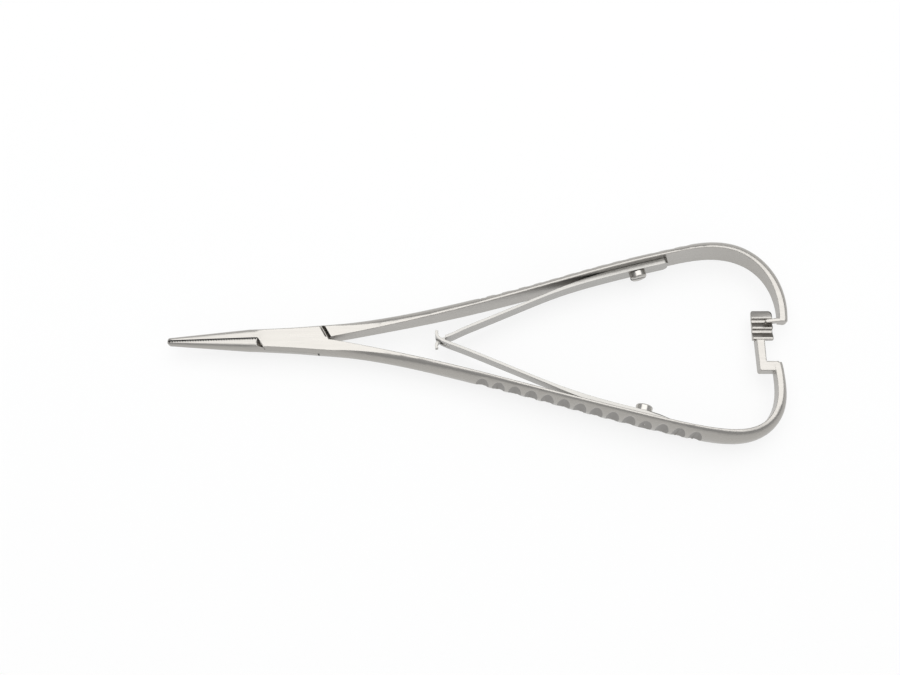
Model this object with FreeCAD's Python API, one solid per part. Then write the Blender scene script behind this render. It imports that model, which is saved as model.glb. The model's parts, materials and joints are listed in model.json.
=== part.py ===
"""Spring-handled needle holder with a box lock, drawn closed on the first tooth of its catch.

X runs from the lock pin to the bows, Y across the handles, Z up through the flat side.
Everything is drawn about the mid-plane of the tool and then raised, so that the lock's flat
underside lies at z = 0 under the pin. Sizes are in millimetres.
"""
import FreeCAD, Part
import math
import os

vec = FreeCAD.Vector

# Lock
lock_thickness = 4.7
tongue_thickness = 1.75
slot_clearance = 0.03          # each side of the tongue
lock_half_height = 2.25        # at the pin, to the edge of the flat side
lock_crown = 0.6               # roundness of the lock's narrow sides
lock_taper = 0.3               # how much lower the flat side is at the front edge
tongue_radius = 6.75
tongue_end_clearance = 0.3
pin_radius = 1.2
pin_clearance = 0.03
front_edge_at_axis = -7.5      # where the box's front edge meets the jaw line
front_edge_at_side = -6.0      # and where it meets the lock's side
rear_edge_at_side = 6.8
rear_edge_at_axis = 8.1
front_gap = 0.12               # box edge to the shoulder of the tongue half's jaw
rear_gap = 0.15                # box edge to the foot of the handle shoulder
shoulder_run = 0.9             # how far the handle shoulder slopes
scoop_radius = 1.6             # hollow ground where the lower jaw meets the box
scoop_width = 1.1
edge_bevel = 0.4               # broken edge along the back of the box
embed = 0.2                    # how far a root reaches into the piece it grows from

# Jaws
jaw_length = 28.1              # pin to tip
jaw_root = 9.5                 # pin to the start of the taper
tip_width = 1.9
tip_height = 0.35              # flat side of the closed pair, half its height
tip_crown = 0.5
tip_round = 1.1
jaw_root_width = 4.1
jaw_root_height = 1.5
jaw_root_crown = 1.0
jaw_drop = 0.35                # the tip lies this far below the axis
tooth_pitch = 0.585
tooth_depth = 0.34
tooth_flat = 0.09              # how much each tooth's crest is ground down
tooth_gap = 0.09               # between the meshed teeth of the closed jaws
tooth_run_out = 0.3            # plain margin at the tip

# Crowned sides: half the angle each turns through, where 90 would roll over the flat side
lock_sweep = 35.0
jaw_sweep = 74.0
handle_sweep = 74.0

# Handles: the inner face from the lock to the catch, as x and y from the pin
crotch = (9.4, 0.42)
crotch_land = 0.3              # where the lock's rear edge turns into the crotch
neck = (19.8, 2.5)
upper_palm = [(37.7, 6.55), (55.5, 11.43), (73.1, 16.38), (86.5, 19.65)]
lower_palm = [(37.7, 6.84), (55.5, 11.78), (73.1, 16.5), (86.5, 19.78)]
upper_bow = [(95.6, 20.95), (101.3, 19.88), (105.7, 16.9), (108.45, 12.6), (109.5, 8.6)]
lower_bow = [(95.4, 21.18), (101.0, 20.82), (105.0, 18.75), (107.35, 15.2), (108.05, 11.4)]
upper_bow_end = (109.6, 4.3)
lower_bow_end = (107.7, 5.5)

# Handle sections: width across Z, flat land beside the inner face, and height of the crowned back
crotch_section = (lock_thickness, 2.48, 0.75)
neck_section = (5.1, 1.05, 1.45)
shank_section = (6.75, 0.5, 1.65)
middle_section = (7.95, 0.45, 1.4)
palm_section = (9.0, 0.45, 1.5)
palm_end_section = (9.0, 0.45, 1.55)
bow_sections = [(8.2, 0.5, 1.8), (6.9, 0.65, 1.75), (5.4, 0.8, 1.55), (4.3, 1.05, 1.25), (3.6, 1.25, 0.95)]
bow_end_section = (2.9, 1.3, 0.75)
bow_end_round = 0.6            # outer corner of the upper bow's end
sections_per_handle = 30

# Finger grooves on the crowned backs
groove_count = 14
groove_first = 43.2
groove_last = 89.6
groove_radius = 2.2
groove_depth = 0.55

# Leaf springs
leaf_root_thickness = 1.3
leaf_tip_thickness = 0.6
leaf_thinning = 14.0           # length over which the root thins
leaf_tail_x = 85.0
leaf_tail_round = 1.1
leaf_seat_x = 71.0             # where the leaf lifts off the handle
leaf_seat_gap = 0.04           # under the leaf, and under the screw's head
leaf_bow = [(60.3, 11.1), (51.0, 7.25), (42.0, 3.4)]
lower_leaf_foot = 33.7         # where the leaf's face meets the axis, before its hook
upper_leaf_foot = lower_leaf_foot + leaf_tip_thickness
leaf_straight = 3.5            # straight run that ends where the hook begins to turn
hook_start = 0.3               # from the foot on the axis
hook_reach = 0.9               # how far a hook goes past the crossing
hook_rise = 1.8                # and off the axis
hook_turn = (0.85, 0.35)       # where the hook bends, as shares of its reach and rise
upper_leaf_width = 4.55
lower_leaf_width = 4.0
neck_width = 1.4
neck_shoulder = 0.65           # from the crossing to the full width
slot_length = 1.6
leaf_slot_clearance = 0.2

# Spring screws
screw_x = 77.9
screw_head_radius = 1.87
screw_head_height = 1.45
screw_head_chamfer = 0.25
screw_shank_radius = 1.0
screw_depth_in_handle = 1.4
screw_hole_clearance = 0.06
driver_slot_width = 0.5
driver_slot_depth = 0.55

# Catch
catch_width = 2.9
finger_height = 1.6
finger_thickness = 0.8
finger_slant = 0.45            # the finger's tip lies this much nearer the axis than its root
finger_rise = 0.1              # air between the finger and the teeth
finger_round = 0.36            # both corners of its tip
into_bow = 0.8                 # share of a bow's flat side that the finger and the bar reach into
plate_thickness = 1.2
wall_count = 3
catch_pitch = 2.43
catch_tooth_depth = 0.7
catch_play = 0.45              # finger to the wall that holds it
plate_side_gap = 1.2           # plate to the upper bow's end
plate_lead = 1.95              # plate past its last wall
plate_length = 4.65            # along X
plate_crest = 0.2              # share of a tooth's pitch that is flat on top
plate_floor = 0.3              # and flat at the foot of its wall
plate_nose = 0.7               # thickness of the plate's leading edge
plate_corner = 0.8             # rounding of its leading edge in plan
finger_reach = 1.9             # finger over the plate
bar_set_in = 0.35              # bar in from the plate's inner end
bar_lean = 0.35                # how far the bar's left side runs in over its length
bar_width = 1.75
jog_height = 2.2
bar_length = 5.6               # last tooth wall to the jog
jog_corner = 0.5               # rounding where the bar turns to the bow

rest_height = lock_thickness / 2


def prism(points, low, high):
    """Straight prism on a closed outline in the XY plane."""
    wire = Part.makePolygon([vec(x, y, low) for x, y in points + points[:1]])
    return Part.Face(wire).extrude(vec(0, 0, high - low))


def with_mirror(shape):
    """A shape and its mirror image below the mid-plane."""
    return [shape, shape.mirror(vec(0, 0, 0), vec(0, 0, 1))]


def smooth_curve(points, parameters=None):
    """Spline through the points, by default spaced by the chords between them."""
    curve = Part.BSplineCurve()
    curve.interpolate(Points=points, Parameters=parameters or chord_parameters(points))
    return curve


def chord_parameters(points):
    lengths = [0.0]
    for a, b in zip(points, points[1:]):
        lengths.append(lengths[-1] + a.distanceToPoint(b))
    return lengths


def parameter_at_x(curve, x):
    """Parameter where a curve that runs along +X reaches x."""
    low, high = curve.FirstParameter, curve.LastParameter
    for _ in range(50):
        middle_parameter = (low + high) / 2
        if curve.value(middle_parameter).x < x:
            low = middle_parameter
        else:
            high = middle_parameter
    return low


def outward(curve, parameter):
    """Normal of the inner face, pointing to the crowned back."""
    tangent = curve.tangent(parameter)[0]
    return vec(-tangent.y, tangent.x, 0)


# Shank: jaws and lock as one tapered bar

def crown_edge(foot, normal, width, crown, sweep):
    """Crowned side from +Z to -Z, a piece of an ellipse that turns through twice the sweep."""
    steps = 10
    limit = math.radians(sweep)
    points = []
    for i in range(steps + 1):
        angle = limit * (2 * i / steps - 1)
        rise = crown * (math.cos(angle) - math.cos(limit)) / (1 - math.cos(limit))
        points.append(foot + normal * rise - vec(0, 0, width / 2 * math.sin(angle) / math.sin(limit)))
    return smooth_curve(points, [i / steps for i in range(steps + 1)]).toShape()


def jaw_line(x):
    """Height of the line between the jaws, which drops towards the tip."""
    return -jaw_drop * max(0.0, -x - jaw_root) / (jaw_length - jaw_root)


def shank_section_wire(x, half_height, crown, width, sweep):
    """Flat top and bottom sides, with a crowned side up and down."""
    up = vec(0, half_height, 0)
    z = vec(0, 0, width / 2)
    middle_point = vec(x, jaw_line(x), 0)
    upper = crown_edge(middle_point + up, vec(0, 1, 0), width, crown, sweep)
    lower = crown_edge(middle_point - up, vec(0, -1, 0), width, crown, sweep)
    back = Part.makeLine(middle_point + up - z, middle_point - up - z)
    front = Part.makeLine(middle_point - up + z, middle_point + up + z)
    return Part.Wire([upper, back, lower, front])


def shank_blank():
    end_height = crotch[1] + crotch_section[1]
    jaw_middle = (jaw_length + jaw_root) / 2
    stations = [
        (-jaw_length, tip_height, tip_crown, tip_width, jaw_sweep),
        (-jaw_middle, (tip_height + jaw_root_height) / 2, (tip_crown + jaw_root_crown) / 2,
         (tip_width + jaw_root_width) / 2, jaw_sweep),
        (-jaw_root, jaw_root_height, jaw_root_crown, jaw_root_width, jaw_sweep),
        (front_edge_at_side, lock_half_height - lock_taper, lock_crown, lock_thickness, lock_sweep),
        (0, lock_half_height, lock_crown, lock_thickness, lock_sweep),
        (crotch[0], end_height, crotch_section[2], lock_thickness, lock_sweep),
    ]
    jaws = Part.makeLoft([shank_section_wire(*s) for s in stations[:3]], True, True)
    lock = Part.makeLoft([shank_section_wire(*s) for s in stations[2:]], True, True)
    return jaws.fuse(lock).common(tip_envelope())


def tip_envelope():
    """Long block with a rounded nose, in plan and from the side."""
    reach = crotch[0]
    size = 2 * lock_thickness
    plan = nose_outline(tip_height + tip_crown, reach, size)
    side = nose_outline(tip_width / 2, reach, size)
    plan_block = plan.extrude(vec(0, 0, 2 * size))
    plan_block.translate(vec(0, jaw_line(-jaw_length), -size))
    side_block = side.extrude(vec(0, 0, 2 * size))
    side_block.translate(vec(0, 0, -size))
    side_block.rotate(vec(0, 0, 0), vec(1, 0, 0), 90)
    return plan_block.common(side_block)


def nose_outline(half_height, reach, size):
    """Outline with a quarter-ellipse corner each side of the tip, open wide behind it."""
    nose = -jaw_length + tip_round
    ellipse = Part.Ellipse(vec(nose, 0, 0), tip_round, min(half_height, tip_round * 0.99))
    arc = Part.Arc(ellipse, math.pi / 2, 3 * math.pi / 2).toShape()
    top = arc.valueAt(arc.FirstParameter)
    bottom = arc.valueAt(arc.LastParameter)
    far = [bottom, vec(nose + size, -size, 0), vec(reach, -size, 0), vec(reach, size, 0),
           vec(nose + size, size, 0), top]
    return Part.Face(Part.Wire([arc] + [Part.makeLine(a, b) for a, b in zip(far, far[1:])]))


def front_edge(offset, y):
    """X of the box's front edge at a height y below the axis, moved towards the tip by an offset."""
    slope = (front_edge_at_side - front_edge_at_axis) / lock_half_height
    return front_edge_at_axis - offset + slope * -y


def rear_edge(offset, y):
    slope = (rear_edge_at_axis - rear_edge_at_side) / lock_half_height
    return rear_edge_at_axis + offset - slope * y


def tooth_profile(low_side, end_x):
    """Zigzag between the jaws, from the tip to the box, offset half the gap to one side.

    Each jaw's crests are ground down, so that a small dark notch stays at the foot of each tooth.
    """
    shift = -tooth_gap / 2 if low_side else tooth_gap / 2
    count = int((jaw_length - tooth_run_out + end_x) / tooth_pitch)
    start = end_x - count * tooth_pitch
    crest_half = tooth_flat * tooth_pitch / (2 * tooth_depth)
    points = [(-jaw_length - 1, shift), (start, shift)]
    y_up, y_down = shift + tooth_depth / 2, shift - tooth_depth / 2
    for i in range(count):
        x_up = start + (i + 0.5) * tooth_pitch
        x_down = start + (i + 1) * tooth_pitch
        if low_side:
            crest = y_up - tooth_flat
            points += [(x_up - crest_half, crest), (x_up + crest_half, crest), (x_down, y_down)]
        else:
            crest = y_down + tooth_flat
            points += [(x_up, y_up), (x_down - crest_half, crest), (x_down + crest_half, crest)]
    points = [point for point in points if point[0] < end_x - crest_half * 1.01] + [(end_x, shift)]
    return [(x, y + jaw_line(x)) for x, y in points]


def box_plan():
    """Plan of the half that carries the box: upper jaw, box and root of the lower handle."""
    top = 3 * lock_half_height
    teeth = tooth_profile(False, front_edge_at_axis - tooth_pitch)
    return teeth + [
        (front_edge_at_axis, tooth_gap / 2), (front_edge(0, -top), -top), (crotch[0], -top),
        (crotch[0], -crotch[1]), (rear_edge(0, -crotch_land), -crotch_land), (rear_edge(0, top), top),
        (-jaw_length - 1, top)]


def tongue_jaw_plan():
    """Plan of the lower jaw, up to the box's front edge."""
    top = 3 * lock_half_height
    teeth = tooth_profile(True, front_edge_at_axis - tooth_pitch)
    return teeth + [
        (front_edge(front_gap, 0), -tooth_gap / 2), (front_edge(front_gap, -top), -top),
        (-jaw_length - 1, -top)]


def behind_box(low_offset, low_z, high_offset, high_z):
    """Block behind the box's rear edge, whose front slopes from one offset to the other."""
    top = 3 * lock_half_height

    def outline(offset, z):
        points = [crotch, (rear_edge(offset, crotch_land), crotch_land), (rear_edge(offset, top), top),
                  (crotch[0], top)]
        return Part.makePolygon([vec(x, y, z) for x, y in points + points[:1]])

    block = Part.makeLoft([outline(low_offset, low_z), outline(high_offset, high_z)], True, True)
    return with_mirror(block)


def handle_shoulder():
    """Root of the upper handle, sloping up from the tongue to the flat side."""
    foot, head = tongue_thickness / 2 - embed, lock_thickness / 2 + embed
    return behind_box(rear_gap, foot, rear_gap + shoulder_run, head)


def rear_bevels():
    return behind_box(0, lock_thickness / 2 - edge_bevel, -edge_bevel, lock_thickness / 2)


def passage(radius, thickness, margin):
    """The tongue's room through the box: a disc, open to the lower jaw and to the upper handle."""
    far = 3 * lock_half_height
    half = thickness / 2
    disc = Part.makeCylinder(radius, thickness, vec(0, 0, -half))
    to_jaw = prism([(0, margin), (0, -far), (-jaw_root, -far), (-jaw_root, margin)], -half, half)
    to_handle = prism([(0, -margin), (rear_edge_at_side, -margin), (crotch[0], crotch[1] - margin),
                       (crotch[0], far), (0, far)], -half, half)
    return disc.fuse([to_jaw, to_handle])


def scoop():
    """Round hollow where the lower jaw's flat side drops to the box's front edge."""
    y = -lock_half_height / 2
    along = vec(front_edge(0, -1) - front_edge(0, 0), -1, 0).normalize()
    to_box = vec(-along.y, along.x, 0)
    up = vec(0, 0, 1)
    rim = vec(front_edge(front_gap, y), y, lock_thickness / 2) - to_box * scoop_width
    axis = (to_box - up).normalize()
    lift = (to_box + up).normalize() * scoop_radius
    reach = 3 * scoop_radius
    return Part.makeCylinder(scoop_radius, 2 * reach, rim + lift - axis * reach, axis)


# Handles

def handle_curves(palm_points, bow_points, bow_end):
    """The inner face from the lock to the catch, and the section sizes along it."""
    points = [vec(x, y, 0) for x, y in [crotch, neck] + palm_points + bow_points + [bow_end]]
    sections = [crotch_section, neck_section, shank_section, middle_section, palm_section, palm_end_section]
    sections += bow_sections + [bow_end_section]
    parameters = chord_parameters(points)
    line = smooth_curve(points, parameters)
    size = smooth_curve([vec(*section) for section in sections], parameters)
    return line, size


def handle_section_wire(foot, normal, width, land, crown, sweep):
    """Flat inner face, a land each side and a crowned back."""
    z = vec(0, 0, width / 2)
    inner_top, inner_bottom = foot + z, foot - z
    back = crown_edge(foot + normal * land, normal, width, crown, sweep)
    return Part.Wire([
        Part.makeLine(inner_bottom, inner_top),
        Part.makeLine(inner_top, inner_top + normal * land),
        back,
        Part.makeLine(inner_bottom + normal * land, inner_bottom)])


def sweep_at(x):
    """Edges fade from the lock's to the handle's along the neck."""
    share = min(1.0, max(0.0, (x - crotch[0]) / (neck[0] - crotch[0])))
    return lock_sweep + (handle_sweep - lock_sweep) * share


def handle_blank(line, size):
    first, last = line.FirstParameter, line.LastParameter
    wires = []
    for i in range(sections_per_handle + 1):
        parameter = first + (last - first) * i / sections_per_handle
        width, land, crown = size.value(parameter)
        foot = line.value(parameter)
        normal = vec(0, 1, 0) if i == 0 else outward(line, parameter)
        wires.append(handle_section_wire(foot, normal, width, land, crown, sweep_at(foot.x)))
    return Part.makeLoft(wires, True, False)


def finger_grooves(line, size):
    """Round grooves across the crowned back, evenly spaced along the handle."""
    cutters = []
    for i in range(groove_count):
        x = groove_first + (groove_last - groove_first) * i / (groove_count - 1)
        parameter = parameter_at_x(line, x)
        width, land, crown = size.value(parameter)
        out = land + crown + groove_radius - groove_depth
        centre = line.value(parameter) + outward(line, parameter) * out
        cutters.append(Part.makeCylinder(groove_radius, 2 * width, centre - vec(0, 0, width)))
    return cutters


def end_corner(line, size):
    """What the rounding takes off the outer corner of a bow's end."""
    last = line.LastParameter
    width, land, crown = size.value(last)
    along = line.tangent(last)[0] * bow_end_round
    out = outward(line, last) * bow_end_round
    centre = line.value(last) + outward(line, last) * (land + crown) - along - out
    low = vec(0, 0, -width)
    corners = [centre, centre + along * 2, centre + along * 2 + out * 2, centre + out * 2, centre]
    block = Part.Face(Part.makePolygon([corner + low for corner in corners])).extrude(low * -2)
    return block.cut(Part.makeCylinder(bow_end_round, 2 * width, centre + low))


# Leaf springs

def leaf_line(line, axis_foot):
    """Face of the leaf towards the axis, from the tail to the tip of the hook."""
    points = []
    off_handle = leaf_root_thickness + leaf_seat_gap
    for x in (leaf_tail_x, (leaf_tail_x + leaf_seat_x) / 2, leaf_seat_x):
        parameter = parameter_at_x(line, x)
        points.append(line.value(parameter) - outward(line, parameter) * off_handle)
    points += [vec(x, y, 0) for x, y in leaf_bow]
    slope = leaf_bow[-1][1] / (leaf_bow[-1][0] - axis_foot)
    points += [vec(axis_foot + run, run * slope, 0) for run in (leaf_straight, hook_start)]
    points.append(vec(lower_leaf_foot - hook_reach * hook_turn[0], -hook_rise * hook_turn[1], 0))
    points.append(vec(lower_leaf_foot - hook_reach, -hook_rise, 0))
    return smooth_curve(points)


def leaf_strip(line, width, axis_foot):
    """Strip that thins from its root to its hook, bent to the leaf's line."""
    curve = leaf_line(line, axis_foot)
    first, last = curve.FirstParameter, curve.LastParameter
    steps = 60
    axis_side, handle_side = [], []
    for i in range(steps + 1):
        parameter = first + (last - first) * i / steps
        tangent = curve.tangent(parameter)[0]
        point = curve.value(parameter)
        thin = min(1.0, max(0.0, (leaf_seat_x - point.x) / leaf_thinning))
        thickness = leaf_root_thickness + (leaf_tip_thickness - leaf_root_thickness) * thin
        axis_side.append(point)
        handle_side.append(point + vec(tangent.y, -tangent.x, 0) * thickness)
    handle_side.reverse()
    edges = [smooth_curve(axis_side).toShape(), Part.makeLine(axis_side[-1], handle_side[0]),
             smooth_curve(handle_side).toShape(), Part.makeLine(handle_side[-1], axis_side[0])]
    strip = Part.Face(Part.Wire(edges)).extrude(vec(0, 0, width))
    strip.translate(vec(0, 0, -width / 2))
    tail_corners = [edge for edge in strip.Edges if abs(edge.Length - leaf_root_thickness) < 0.01]
    return strip.makeFillet(leaf_tail_round, tail_corners)


def upper_leaf(line):
    """Upper leaf, cut to a narrow neck that passes through the lower one."""
    strip = leaf_strip(line, upper_leaf_width, upper_leaf_foot)
    shoulder_x = lower_leaf_foot + neck_shoulder
    far = 2 * hook_rise + upper_leaf_width
    past_hook = lower_leaf_foot - far
    side = prism([(past_hook, -far), (shoulder_x, -far), (shoulder_x, far), (past_hook, far)],
                 neck_width / 2, upper_leaf_width)
    return strip.cut(with_mirror(side))


def lower_leaf(line):
    """Lower leaf, drawn above the axis like the upper one and slotted for its neck."""
    strip = leaf_strip(line, lower_leaf_width, lower_leaf_foot)
    half = neck_width / 2 + leaf_slot_clearance
    left, right = lower_leaf_foot - slot_length, lower_leaf_foot + slot_length
    low = -leaf_tip_thickness
    slot = prism([(left, low), (right, low), (right, hook_rise), (left, hook_rise)], -half, half)
    return strip.cut(slot)


# Spring screws, drawn on the upper handle

def screw_place(line):
    parameter = parameter_at_x(line, screw_x)
    return line.value(parameter), outward(line, parameter)


def spring_screw(line):
    """Slotted round head on the leaf, with its shank in the handle."""
    foot, normal = screw_place(line)
    seat = foot - normal * (2 * leaf_seat_gap + leaf_root_thickness)
    head = Part.makeCylinder(screw_head_radius, screw_head_height, seat, normal * -1)
    rims = [edge for edge in head.Edges if edge.isClosed()]
    rim = max(rims, key=lambda edge: edge.CenterOfMass.distanceToPoint(seat))
    head = head.makeChamfer(screw_head_chamfer, [rim])
    shank_length = foot.distanceToPoint(seat) + screw_depth_in_handle
    shank_body = Part.makeCylinder(screw_shank_radius, shank_length, seat, normal)
    along = vec(normal.y, -normal.x, 0)
    reach = 2 * screw_head_radius
    corner = seat - normal * screw_head_height - along * reach - vec(0, 0, driver_slot_width / 2)
    slot = Part.makeBox(2 * reach, driver_slot_depth, driver_slot_width)
    slot.Placement = FreeCAD.Placement(corner, FreeCAD.Rotation(along, normal, vec(0, 0, 1), "XYZ"))
    return head.fuse(shank_body).cut(slot).removeSplitter()


def screw_hole(line, radius, into_handle):
    foot, normal = screw_place(line)
    start = foot - normal * 2 * leaf_root_thickness
    length = 2 * leaf_root_thickness + (screw_depth_in_handle if into_handle else embed)
    return Part.makeCylinder(radius, length, start, normal)


# Catch

def finger_tip_x():
    return plate_left_x() + plate_length - finger_reach


def finger_back_y():
    return upper_bow_end[1] + finger_thickness


def finger_low_z():
    return catch_width / 2 - finger_height


def finger():
    """Pawl that turns in from the end of the upper bow."""
    back, front = finger_back_y(), finger_back_y() - finger_thickness
    root_x = upper_bow_end[0] + bow_end_section[1] * into_bow
    tip_x = finger_tip_x()
    outline = [(tip_x, back - finger_slant), (tip_x, front - finger_slant), (root_x, front), (root_x, back)]
    blade = prism(outline, finger_low_z(), catch_width / 2)
    tip_edges = [edge for edge in blade.Edges if edge.Length == edge.BoundBox.ZLength
                 and abs(edge.CenterOfMass.x - tip_x) < finger_thickness / 4]
    return blade.makeFillet(finger_round, tip_edges)


def plate_top_z():
    return finger_low_z() - finger_rise


def catch_walls():
    """Y of each steep wall, the first one holding the finger's tip."""
    first = finger_back_y() - finger_slant / 2 + catch_play
    return [first - i * catch_pitch for i in range(wall_count)]


def plate_left_x():
    return upper_bow_end[0] - plate_side_gap - plate_length


def upright_edges(shape, y):
    """Edges along Z that stand at the height y."""
    return [edge for edge in shape.Edges if edge.BoundBox.ZLength > 0.99 * edge.Length
            and abs(edge.CenterOfMass.y - y) < edge.Length / 100]


def ratchet_plate():
    """Toothed plate under the finger: a steep wall and a gentle slope for each tooth."""
    top = plate_top_z()
    floor, base = top - catch_tooth_depth, top - plate_thickness
    walls = catch_walls()
    lead_y = walls[0] + plate_lead
    profile = [(lead_y, base), (lead_y, base + plate_nose), (walls[0] + catch_pitch * plate_crest, top),
               (walls[0], top)]
    for wall in walls[:-1]:
        profile += [(wall, floor), (wall - catch_pitch * plate_floor, floor)]
        profile += [(wall - catch_pitch * (1 - plate_crest), top), (wall - catch_pitch, top)]
    profile.append((walls[-1], base))
    wire = Part.makePolygon([vec(plate_left_x(), y, z) for y, z in profile + profile[:1]])
    plate = Part.Face(wire).extrude(vec(plate_length, 0, 0))
    near_bow, far_off = sorted(upright_edges(plate, lead_y), key=lambda edge: -edge.CenterOfMass.x)
    return plate.makeFillet(plate_corner, [near_bow]).makeFillet(plate_corner / 2, [far_off])


def catch_bar():
    """Cranked bar from the end of the lower bow to the toothed plate."""
    last_wall = catch_walls()[-1]
    jog_top = last_wall - bar_length
    jog_bottom = jog_top - jog_height
    left = plate_left_x() + bar_set_in
    inside_bow = lower_bow_end[0] + bow_end_section[1] * into_bow
    top = last_wall + catch_pitch / 2
    points = [(left, top), (left + bar_lean, jog_bottom), (inside_bow, jog_bottom), (inside_bow, jog_top),
              (left + bar_lean / 2 + bar_width, jog_top), (left + bar_width, top)]
    bar = prism(points, -catch_width / 2, catch_width / 2)
    turn = min(upright_edges(bar, jog_bottom), key=lambda edge: edge.CenterOfMass.x)
    bar = bar.makeFillet(jog_corner, [turn])
    low, high = last_wall - catch_pitch * plate_crest, last_wall + catch_pitch
    clear = prism([(left - 1, low), (inside_bow, low), (inside_bow, high), (left - 1, high)],
                  plate_top_z() - catch_tooth_depth, catch_width)
    return bar.cut(clear)


# Nodes

def lock_pin():
    return Part.makeCylinder(pin_radius, lock_thickness, vec(0, 0, -lock_thickness / 2))


def turned_over(shape):
    """A piece of the upper handle, turned about the X axis to the lower one."""
    return shape.mirror(vec(0, 0, 0), vec(0, 1, 0))


def grooved_handle(line, size):
    hole = screw_hole(line, screw_shank_radius, True)
    return handle_blank(line, size).cut(finger_grooves(line, size) + [hole])


def box_half(blank, line, size):
    high = lock_thickness
    body = blank.common(prism(box_plan(), -high, high))
    body = body.cut(passage(tongue_radius + tongue_end_clearance, tongue_thickness + 2 * slot_clearance,
                            tongue_end_clearance / 2))
    body = body.cut(rear_bevels() + [lock_pin()])
    handle = grooved_handle(line, size)
    return body.fuse(turned_over(handle)).fuse(catch_bar()).fuse(ratchet_plate())


def tongue_half(blank, line, size):
    high = lock_thickness
    jaw = blank.common(prism(tongue_jaw_plan(), -high, high))
    tongue = blank.common(passage(tongue_radius, tongue_thickness, 0))
    jaw = jaw.cut(with_mirror(scoop()))
    upper_root, lower_root = [blank.common(block) for block in handle_shoulder()]
    handle = grooved_handle(line, size).cut(end_corner(line, size))
    body = tongue.fuse(jaw).fuse(upper_root).fuse(lower_root).fuse(handle).fuse(finger())
    return body.cut(Part.makeCylinder(pin_radius + pin_clearance, 2 * high, vec(0, 0, -high)))


def build():
    blank = shank_blank()
    upper_line, upper_size = handle_curves(upper_palm, upper_bow, upper_bow_end)
    lower_line, lower_size = handle_curves(lower_palm, lower_bow, lower_bow_end)
    leaf_hole_radius = screw_shank_radius + screw_hole_clearance
    upper_spring = upper_leaf(upper_line).cut(screw_hole(upper_line, leaf_hole_radius, False))
    lower_spring = lower_leaf(lower_line).cut(screw_hole(lower_line, leaf_hole_radius, False))
    return {
        "box_half": box_half(blank, lower_line, lower_size),
        "tongue_half": tongue_half(blank, upper_line, upper_size),
        "lock_pin": lock_pin(),
        "upper_leaf_spring": upper_spring,
        "lower_leaf_spring": turned_over(lower_spring),
        "upper_spring_screw": spring_screw(upper_line),
        "lower_spring_screw": turned_over(spring_screw(lower_line)),
    }


def merged_faces(shape):
    """Faces that the cuts have split joined again, where they can be."""
    try:
        return shape.copy().removeSplitter()
    except Part.OCCError:
        return shape


os.makedirs("parts", exist_ok=True)
for name, shape in build().items():
    shape = merged_faces(shape)
    shape.translate(vec(0, 0, rest_height))
    shape.exportStep("parts/%s.step" % name)
    box = shape.BoundBox
    print("%-20s solids %d valid %s volume %.1f faces %d  x %.2f %.2f  y %.2f %.2f  z %.2f %.2f" % (
        name, len(shape.Solids), shape.isValid(), shape.Volume, len(shape.Faces),
        box.XMin, box.XMax, box.YMin, box.YMax, box.ZMin, box.ZMax))
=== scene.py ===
import bpy
import bmesh
import json
from math import atan2, cos, degrees, pi, radians, sin
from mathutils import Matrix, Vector


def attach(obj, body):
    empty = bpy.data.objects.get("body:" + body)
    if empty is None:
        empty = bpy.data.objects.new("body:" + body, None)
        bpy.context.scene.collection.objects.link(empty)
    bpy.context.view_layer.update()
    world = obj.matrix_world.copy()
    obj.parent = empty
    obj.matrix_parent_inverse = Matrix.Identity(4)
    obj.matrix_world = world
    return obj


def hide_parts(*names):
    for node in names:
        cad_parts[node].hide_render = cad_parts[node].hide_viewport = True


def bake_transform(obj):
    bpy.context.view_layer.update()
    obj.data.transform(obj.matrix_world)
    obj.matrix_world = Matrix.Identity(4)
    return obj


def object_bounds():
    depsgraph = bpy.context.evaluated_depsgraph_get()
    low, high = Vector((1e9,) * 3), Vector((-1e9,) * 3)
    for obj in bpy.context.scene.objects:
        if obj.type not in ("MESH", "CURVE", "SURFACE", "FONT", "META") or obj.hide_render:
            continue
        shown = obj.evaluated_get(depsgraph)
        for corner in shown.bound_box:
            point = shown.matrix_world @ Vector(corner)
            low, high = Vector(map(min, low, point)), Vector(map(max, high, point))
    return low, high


mm = 0.001  # the frame is in metres, sizes here are in millimetres

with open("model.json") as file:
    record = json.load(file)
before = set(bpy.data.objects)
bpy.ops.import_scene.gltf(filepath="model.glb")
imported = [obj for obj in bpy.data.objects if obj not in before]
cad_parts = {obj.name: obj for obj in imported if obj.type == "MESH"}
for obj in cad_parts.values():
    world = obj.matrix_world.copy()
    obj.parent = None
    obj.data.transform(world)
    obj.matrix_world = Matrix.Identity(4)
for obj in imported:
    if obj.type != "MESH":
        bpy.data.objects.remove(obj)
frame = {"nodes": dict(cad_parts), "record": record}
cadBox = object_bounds()
print("frame loaded:", len(frame["nodes"]), "pieces")


# helpers

def linearColour(hexCode):
    channels = [int(hexCode[i:i + 2], 16) / 255 for i in (1, 3, 5)]
    return [c / 12.92 if c <= 0.04045 else ((c + 0.055) / 1.055) ** 2.4 for c in channels] + [1.0]


def addNode(tree, kind, inputs=None, **settings):
    # an input is a value, a socket, or a node that is linked by its first output in use
    node = tree.nodes.new(kind)
    for name, value in settings.items():
        setattr(node, name, value)
    for name, value in (inputs or {}).items():
        if isinstance(value, bpy.types.Node):
            value = next(output for output in value.outputs if output.enabled)
        if isinstance(value, bpy.types.NodeSocket):
            tree.links.new(value, node.inputs[name])
        else:
            node.inputs[name].default_value = value
    return node


def newMaterial(name):
    material = bpy.data.materials.new(name)
    material.use_nodes = True
    material.node_tree.nodes.clear()
    return material, material.node_tree


# materials

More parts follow.
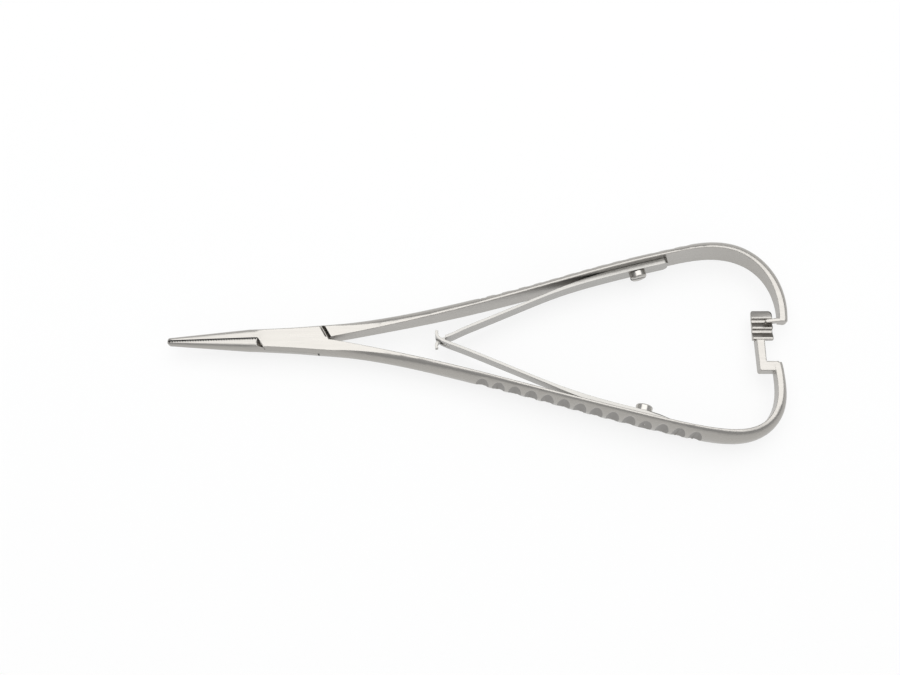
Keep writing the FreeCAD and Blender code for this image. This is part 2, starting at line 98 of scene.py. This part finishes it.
satinSteel = {
    "colour": "#aaa7a2",       # stainless forging steel, slightly warm
    "roughness": 0.3,
    "roughnessSpread": 0.04,
    "brushLength": 9.0,        # mm, along the tool
    "brushSpacing": 0.45,      # mm; the real grit lines are finer than the render can show
    "brushDepth": 0.0012,      # mm
    "edgeRadius": 0.16,        # mm, edges broken by polishing
}

springSteel = {
    "colour": "#a19f9b",       # ribbon spring steel, finer grit
    "roughness": 0.26,
    "roughnessSpread": 0.04,
    "brushLength": 6.0,
    "brushSpacing": 0.4,
    "brushDepth": 0.0008,
    "edgeRadius": 0.1,
}

screwSteel = {
    "colour": "#b5b2ad",       # turned and polished heads
    "roughness": 0.25,
    "roughnessSpread": 0.04,
    "brushLength": 1.0,
    "brushSpacing": 0.5,
    "brushDepth": 0.0004,
    "edgeRadius": 0.12,
}

brushing = {
    "range": (0.3, 0.7),       # the noise values that most of a brushed face has
    "detail": 3.0,             # finer lines between the coarse ones
    "fineShare": 0.6,          # how strong those are
    "edgeSamples": 6,          # for the rounded edges
}

forgedEdges = {
    # mm; where the halves' edges are rounder or sharper than the satin's edge radius
    "flushPin": (1.8, 2.2),    # from the pin's axis: no rounding inside, all of it outside
    "neck": (14, 30),          # along X, where the lock's edges change to the handles'
    "handleRadius": 0.35,
    "jawFlat": (0.25, 1.0),    # from the line between the jaws to their outer edges
    "jawRadius": 0.75,
}

fingerGrooves = {
    # the grooves get painted shade, darker than the satin around them, and are left duller, as milled
    "colour": "#85827e",
    "roughness": 0.42,
    "reach": (41, 91),         # mm along the handles
    "bite": 0.26,              # mm, how much deeper a groove's middle runs than the cut in the CAD
    "screwAt": 78.35,          # mm along X, where a screw's end shows in a groove
    "screwReach": 0.3,         # mm, a groove with a corner this close to it stays as it is
    "handleSlope": 15.0,       # degrees between a handle and X
    "outward": 0.3,            # a groove's faces point away from the tool's middle at least this much
    "upright": 0.02,           # and up or down no more than this
    "tall": 1.2,               # mm, the least height of its long faces
    "turned": 10,              # degrees, the least turn of its short ones against the handle
}

jawTeeth = {
    # mm; the closed jaws and the painted shade of the zigzag gap between them
    "jawStart": 9.5,
    "jawLength": 28.1,
    "boxEnd": (7.5, 7.7),      # where the box's edge takes over from the jaws
    "drop": 0.35,              # how far the tip lies below the axis
    "firstTooth": 8.378,
    "pitch": 0.585,
    "shadeTop": 0.16,            # the painted shade's upper edge above the line between the jaws
    "shadeShallow": 0.0,         # its lower edge at a tooth's tip
    "shadeDeep": 0.4,            # and between two teeth
    "fade": 0.04,
    "flatSide": (0.5, 0.7),    # how far a face has to point up or down to get the painted shade
    # the painted shade's colour, near black
    "gapShadeColour": "#141312",
}


def paintedGapShade(tree, parts):
    # the painted shade of the gap with its teeth, how far a point is off the line between the jaws,
    # and where jaws are
    halfPitch = jawTeeth["pitch"] / 2 * mm
    line = addNode(tree, "ShaderNodeMapRange", {
        "Value": parts["X"],
        "From Min": -jawTeeth["jawLength"] * mm, "From Max": -jawTeeth["jawStart"] * mm,
        "To Min": -jawTeeth["drop"] * mm, "To Max": 0.0,
    })
    offLine = addNode(tree, "ShaderNodeMath", {0: parts["Y"], 1: line}, operation="SUBTRACT")
    along = addNode(tree, "ShaderNodeMath", {
        0: parts["X"], 1: jawTeeth["firstTooth"] * mm,
    }, operation="ADD")
    wave = addNode(tree, "ShaderNodeMath", {0: along, 1: halfPitch}, operation="PINGPONG")
    depth = addNode(tree, "ShaderNodeMapRange", {
        "Value": wave, "From Min": 0.0, "From Max": halfPitch,
        "To Min": jawTeeth["shadeShallow"] * mm, "To Max": jawTeeth["shadeDeep"] * mm,
    })
    aboveFloor = addNode(tree, "ShaderNodeMapRange", {
        "Value": addNode(tree, "ShaderNodeMath", {0: offLine, 1: depth}, operation="ADD"),
        "From Min": -jawTeeth["fade"] * mm, "From Max": 0.0,
    })
    belowTop = addNode(tree, "ShaderNodeMapRange", {
        "Value": offLine,
        "From Min": jawTeeth["shadeTop"] * mm,
        "From Max": (jawTeeth["shadeTop"] + jawTeeth["fade"]) * mm,
        "To Min": 1.0, "To Max": 0.0,
    })
    # the shade is painted only on the jaws' flat sides, so that an open jaw's tooth faces stay bare
    facing = addNode(tree, "ShaderNodeNewGeometry").outputs["True Normal"]
    facingUp = addNode(tree, "ShaderNodeSeparateXYZ", {"Vector": facing}).outputs["Z"]
    upright = addNode(tree, "ShaderNodeMath", {0: facingUp}, operation="ABSOLUTE")
    onFlat = addNode(tree, "ShaderNodeMapRange", {
        "Value": upright,
        "From Min": jawTeeth["flatSide"][0], "From Max": jawTeeth["flatSide"][1],
    })
    inJaws = addNode(tree, "ShaderNodeMapRange", {
        "Value": parts["X"],
        "From Min": -jawTeeth["boxEnd"][1] * mm, "From Max": -jawTeeth["boxEnd"][0] * mm,
        "To Min": 1.0, "To Max": 0.0,
    })
    # painted shade: the zigzag band, on flat sides, within the jaws
    gapShade = aboveFloor
    for share in (belowTop, onFlat, inJaws):
        gapShade = addNode(tree, "ShaderNodeMath", {0: gapShade, 1: share}, operation="MULTIPLY")
    return gapShade, addNode(tree, "ShaderNodeMath", {0: offLine}, operation="ABSOLUTE"), inJaws


def forgedDetails(tree, place, edgeRadius, colour, roughness):
    # what only the forged halves have: milled grooves and toothed jaws, both with painted shade, and
    # edges of several kinds
    parts = addNode(tree, "ShaderNodeSeparateXYZ", {"Vector": place}).outputs
    grooveShadeAndDullness = addNode(tree, "ShaderNodeAttribute", attribute_name="grooveShadeAndDullness").outputs["Fac"]
    gapShade, offLine, inJaws = paintedGapShade(tree, parts)
    # painted shade: darker colour in the grooves and in the gap between the jaws
    for share, paint in ((grooveShadeAndDullness, fingerGrooves["colour"]), (gapShade, jawTeeth["gapShadeColour"])):
        colour = addNode(tree, "ShaderNodeMix", {
            0: share, 6: colour, 7: linearColour(paint),
        }, data_type="RGBA")
    roughness = addNode(tree, "ShaderNodeMix", {
        0: grooveShadeAndDullness, 2: roughness, 3: fingerGrooves["roughness"],
    })
    # the pin is ground flush with the lock and brushed over, so no edge is rounded around it
    flat = addNode(tree, "ShaderNodeVectorMath", {0: place, 1: (1, 1, 0)}, operation="MULTIPLY")
    fromPin = addNode(tree, "ShaderNodeVectorMath", {0: flat}, operation="LENGTH")
    lockRadius = addNode(tree, "ShaderNodeMapRange", {
        "Value": fromPin,
        "From Min": forgedEdges["flushPin"][0] * mm, "From Max": forgedEdges["flushPin"][1] * mm,
        "To Min": 0.0, "To Max": edgeRadius * mm,
    })
    outwards = addNode(tree, "ShaderNodeMapRange", {
        "Value": offLine,
        "From Min": forgedEdges["jawFlat"][0] * mm, "From Max": forgedEdges["jawFlat"][1] * mm,
        "To Min": 0.0, "To Max": (forgedEdges["jawRadius"] - edgeRadius) * mm,
    })
    jawExtra = addNode(tree, "ShaderNodeMath", {0: outwards, 1: inJaws}, operation="MULTIPLY")
    handleExtra = addNode(tree, "ShaderNodeMapRange", {
        "Value": parts["X"],
        "From Min": forgedEdges["neck"][0] * mm, "From Max": forgedEdges["neck"][1] * mm,
        "To Min": 0.0, "To Max": (forgedEdges["handleRadius"] - edgeRadius) * mm,
    })
    radius = lockRadius
    for extra in (jawExtra, handleExtra):
        radius = addNode(tree, "ShaderNodeMath", {0: radius, 1: extra}, operation="ADD")
    return colour, roughness, radius


def brushedMetal(name, finish, forged=False):
    # satin: a wide soft highlight that runs along the brushing, with edges that catch the light
    material, tree = newMaterial(name)
    place = addNode(tree, "ShaderNodeTexCoord").outputs["Object"]
    across = 1 / (finish["brushSpacing"] * mm)
    stretched = addNode(tree, "ShaderNodeMapping", {
        "Vector": place, "Scale": (1 / (finish["brushLength"] * mm), across, across),
    })
    lines = addNode(tree, "ShaderNodeTexNoise", {
        "Vector": stretched, "Scale": 1.0,
        "Detail": brushing["detail"], "Roughness": brushing["fineShare"],
    })
    colour = linearColour(finish["colour"])
    roughness = addNode(tree, "ShaderNodeMapRange", {
        "Value": lines,
        "From Min": brushing["range"][0], "From Max": brushing["range"][1],
        "To Min": finish["roughness"] - finish["roughnessSpread"],
        "To Max": finish["roughness"] + finish["roughnessSpread"],
    })
    radius = finish["edgeRadius"] * mm
    if forged:
        colour, roughness, radius = forgedDetails(
            tree, place, finish["edgeRadius"], colour, roughness)
    edges = addNode(tree, "ShaderNodeBevel", {"Radius": radius}, samples=brushing["edgeSamples"])
    grain = addNode(tree, "ShaderNodeBump", {
        "Height": lines, "Distance": finish["brushDepth"] * mm, "Strength": 1.0, "Normal": edges,
    })
    metal = addNode(tree, "ShaderNodeBsdfPrincipled", {
        "Base Color": colour, "Metallic": 1.0, "Roughness": roughness, "Normal": grain,
    })
    addNode(tree, "ShaderNodeOutputMaterial", {"Surface": metal})
    return material


finishes = {
    "satin_steel": brushedMetal("brushedStainlessSteel", satinSteel, forged=True),
    "spring_steel": brushedMetal("brightSpringSteel", springSteel),
    "polished_screw_steel": brushedMetal("polishedScrewSteel", screwSteel),
}
print("materials made:", len(finishes))


# metal pieces

pieceFinish = {
    "box_half": "satin_steel",
    "tongue_half": "satin_steel",
    "lock_pin": "satin_steel",
    "lower_leaf_spring": "spring_steel",
    "upper_leaf_spring": "spring_steel",
    "lower_spring_screw": "polished_screw_steel",
    "upper_spring_screw": "polished_screw_steel",
}

grooved = ["box_half", "tongue_half"]

smoothing = {
    "mergeDistance": 0.0005,   # mm
    "sharpAngle": 24,          # degrees
    "handleSharpAngle": 31,    # the handles' flats run softly into their rounded outer sides
    "handles": (20, 92),       # mm along X
}


def inGroove(face):
    # the grooves run straight through in Z, and lie on the handles' outer sides
    middle = face.calc_center_median() / mm
    first, last = fingerGrooves["reach"]
    outward = face.normal.y * (1 if middle.y > 0 else -1)
    upright = abs(face.normal.z) < fingerGrooves["upright"]
    heights = [vertex.co.z / mm for vertex in face.verts]
    tall = max(heights) - min(heights) > fingerGrooves["tall"]
    turn = abs(degrees(atan2(face.normal.x, outward)) + fingerGrooves["handleSlope"])
    return (first < middle.x < last and outward > fingerGrooves["outward"] and upright
            and (tall or turn > fingerGrooves["turned"]))


def deepenGrooves(loose):
    # each groove sinks most at its floor, so that the outline waves along the fingers
    while loose:
        groove = [loose.pop()]
        for face in groove:
            touching = {other for edge in face.edges for other in edge.link_faces} & loose
            loose -= touching
            groove.extend(touching)
        outward = sum((face.normal * face.calc_area() for face in groove), Vector()).normalized()
        heights = {vertex: vertex.co.dot(outward) for face in groove for vertex in face.verts}
        fromScrew = min(abs(vertex.co.x / mm - fingerGrooves["screwAt"]) for vertex in heights)
        if fromScrew < fingerGrooves["screwReach"]:
            for face in groove:
                face.smooth = False
            continue
        crest, floor = max(heights.values()), min(heights.values())
        for vertex, height in heights.items():
            vertex.co -= outward * fingerGrooves["bite"] * mm * (crest - height) / (crest - floor)


def weldedCopy(nodeName):
    # one closed skin from the node's loose triangles, smooth where the metal is curved
    skin = bmesh.new()
    skin.from_mesh(frame["nodes"][nodeName].data)
    bmesh.ops.remove_doubles(skin, verts=skin.verts, dist=smoothing["mergeDistance"] * mm)
    first, last = smoothing["handles"]
    for edge in skin.edges:
        onHandle = nodeName in grooved and first < edge.verts[0].co.x / mm < last
        limit = smoothing["handleSharpAngle"] if onHandle else smoothing["sharpAngle"]
        edge.smooth = edge.calc_face_angle(pi) < radians(limit)
    for face in skin.faces:
        face.smooth = True
    grooves = {face for face in skin.faces if nodeName in grooved and inGroove(face)}
    # the grooves' faces, for their painted shade and duller finish
    grooveShadeAndDullness = [float(face in grooves) for face in skin.faces]
    deepenGrooves(grooves)
    mesh = bpy.data.meshes.new(nodeName + "Skin")
    skin.to_mesh(mesh)
    skin.free()
    mesh.attributes.new("grooveShadeAndDullness", "FLOAT", "FACE").data.foreach_set("value", grooveShadeAndDullness)
    if "custom_normal" in mesh.attributes:  # those of the loose triangles
        mesh.attributes.remove(mesh.attributes["custom_normal"])
    mesh.materials.clear()
    mesh.materials.append(finishes[pieceFinish[nodeName]])
    piece = bpy.data.objects.new(nodeName + "Skin", mesh)
    bpy.context.scene.collection.objects.link(piece)
    evenShade = piece.modifiers.new("evenShade", "WEIGHTED_NORMAL")
    evenShade.keep_sharp = True
    return piece


bodyOf = {
    nodeName: bodyName
    for bodyName, members in frame["record"]["behaviour"]["bodies"].items()
    for nodeName in members
}

rigidPieces = ["box_half", "tongue_half", "lock_pin", "lower_spring_screw", "upper_spring_screw"]
for nodeName in rigidPieces:
    piece = weldedCopy(nodeName)
    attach(piece, bodyOf[nodeName])
    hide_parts(nodeName)
print("rigid pieces finished:", len(rigidPieces))


# leaf springs

leafSprings = {
    "seatEnd": 71.0,           # mm from the pin, where a leaf lifts off its handle
    "hooks": 33.2,             # mm from the pin, where the hooks are linked
    "taper": (80.8, 85.3),     # mm along X, where the lower leaf's tail is ground thin
    "tailHeight": 0.25,        # what is left of its height over the handle at the end
    "handleLine": ((73.1, -16.5), (86.5, -19.78)),  # mm, the handle's inner face under that tail
}


def grindTail(piece):
    # the tail runs down to the handle instead of ending in a step
    start, end = leafSprings["taper"]
    (x0, y0), (x1, y1) = leafSprings["handleLine"]
    for vertex in piece.data.vertices:
        x, y = vertex.co.x / mm, vertex.co.y / mm
        handle = y0 + (y1 - y0) * (x - x0) / (x1 - x0)
        share = min(max((x - start) / (end - start), 0), 1) * (1 - leafSprings["tailHeight"])
        vertex.co.y = (y - (y - handle) * share) * mm


# each leaf is welded into one skin in place of its node, and the lower one's tail is ground down to
# its handle
for nodeName, ownBody, otherBody in (("lower_leaf_spring", "box_side", "tongue_side"),
                                     ("upper_leaf_spring", "tongue_side", "box_side")):
    piece = weldedCopy(nodeName)
    if nodeName == "lower_leaf_spring":
        grindTail(piece)
    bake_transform(piece)
    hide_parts(nodeName)


# floor, light and camera

studio = {
    "floorRadius": 3.0,        # m
    "wallHeight": 0.75,        # m, a round backdrop, low enough to leave the metal's light alone
    "wallCorners": 64,
    "floorGap": 0.05,          # mm under the palms
    "floorColour": "#f9f9f8",
    "floorGlow": 0.82,         # share of plain white in what the camera sees; the rest has the shadow
    "skyFront": "#bcbdbf",     # near the horizon, on the camera's side
    "skyBack": "#b8b9bb",      # near the horizon, behind the tool
    "skyTop": "#cfd0d2",
    "skyTurn": (-0.2, 0.5),    # Y of the direction, from front to back
    "skyRise": (0.3, 0.95),    # Z of the direction, from the horizon's colour to the top's
}

softboxes = {
    # place, aim and size in mm; a brightness of 1 is a plain white face
    "overhead": {"place": (55, 190, 620), "aim": (40, 0, 0), "size": (900, 600), "brightness": 1.75},
}

view = {
    "place": (35.44, -84.0, 279.68),  # mm
    "tilt": 17.0,              # degrees off straight down
    "lens": 51.5,              # mm
    "sensor": 36.0,            # mm
    "nearest": 10,             # mm, nothing closer than this is drawn
}


def pavedFloor():
    # a pale disc with a round wall
    material, tree = newMaterial("paleFloor")
    paint = addNode(tree, "ShaderNodeBsdfDiffuse", {"Color": linearColour(studio["floorColour"])})
    white = addNode(tree, "ShaderNodeEmission", {"Strength": 1.0})
    path = addNode(tree, "ShaderNodeLightPath").outputs
    seen = path["Is Camera Ray"]
    for mirrored in (path["Is Glossy Ray"], path["Is Transmission Ray"]):
        seen = addNode(tree, "ShaderNodeMath", {0: seen, 1: mirrored}, operation="MAXIMUM")
    share = addNode(tree, "ShaderNodeMath", {0: seen, 1: studio["floorGlow"]}, operation="MULTIPLY")
    surface = addNode(tree, "ShaderNodeMixShader", {0: share, 1: paint, 2: white})
    addNode(tree, "ShaderNodeOutputMaterial", {"Surface": surface})
    low = cadBox[0][2] - studio["floorGap"] * mm
    high = low + studio["wallHeight"]
    radius, corners = studio["floorRadius"], studio["wallCorners"]
    turns = [2 * pi * i / corners for i in range(corners)]
    places = [(radius * cos(turn), radius * sin(turn), z) for z in (low, high) for turn in turns]
    walls = [(i, (i + 1) % corners, (i + 1) % corners + corners, i + corners) for i in range(corners)]
    mesh = bpy.data.meshes.new("floor")
    mesh.from_pydata(places, [], [tuple(range(corners))] + walls)
    mesh.materials.append(material)
    floor = bpy.data.objects.new("floor", mesh)
    bpy.context.scene.collection.objects.link(floor)
    return floor


def studioSky():
    world = bpy.data.worlds.new("studioSky")
    world.use_nodes = True
    tree = world.node_tree
    tree.nodes.clear()
    direction = addNode(tree, "ShaderNodeTexCoord").outputs["Generated"]
    parts = addNode(tree, "ShaderNodeSeparateXYZ", {"Vector": direction}).outputs
    sky = linearColour(studio["skyFront"])
    for part, reach, colour in (("Y", "skyTurn", "skyBack"), ("Z", "skyRise", "skyTop")):
        share = addNode(tree, "ShaderNodeMapRange", {
            "Value": parts[part], "From Min": studio[reach][0], "From Max": studio[reach][1],
        })
        sky = addNode(tree, "ShaderNodeMix", {
            0: share, 6: sky, 7: linearColour(studio[colour]),
        }, data_type="RGBA")
    glow = addNode(tree, "ShaderNodeBackground", {"Color": sky, "Strength": 1.0})
    addNode(tree, "ShaderNodeOutputWorld", {"Surface": glow})
    bpy.context.scene.world = world


def softbox(name, box):
    lamp = bpy.data.lights.new(name, "AREA")
    lamp.shape = "RECTANGLE"
    lamp.size, lamp.size_y = box["size"][0] * mm, box["size"][1] * mm
    lamp.energy = box["brightness"] * lamp.size * lamp.size_y * pi
    holder = bpy.data.objects.new(name, lamp)
    holder.location = [c * mm for c in box["place"]]
    towards = Vector(box["aim"]) - Vector(box["place"])
    holder.rotation_euler = towards.to_track_quat("-Z", "Y").to_euler()
    bpy.context.scene.collection.objects.link(holder)


def photoCamera():
    camera = bpy.data.objects.new("camera", bpy.data.cameras.new("camera"))
    camera.data.lens = view["lens"]
    camera.data.sensor_width = view["sensor"]
    camera.data.clip_start = view["nearest"] * mm
    camera.location = [c * mm for c in view["place"]]
    camera.rotation_euler = (radians(view["tilt"]), 0, 0)
    bpy.context.scene.collection.objects.link(camera)
    bpy.context.scene.camera = camera


pavedFloor()
studioSky()
for name, box in softboxes.items():
    softbox(name, box)
photoCamera()
bpy.context.scene.view_settings.view_transform = "Standard"
print("floor, lights and camera set")
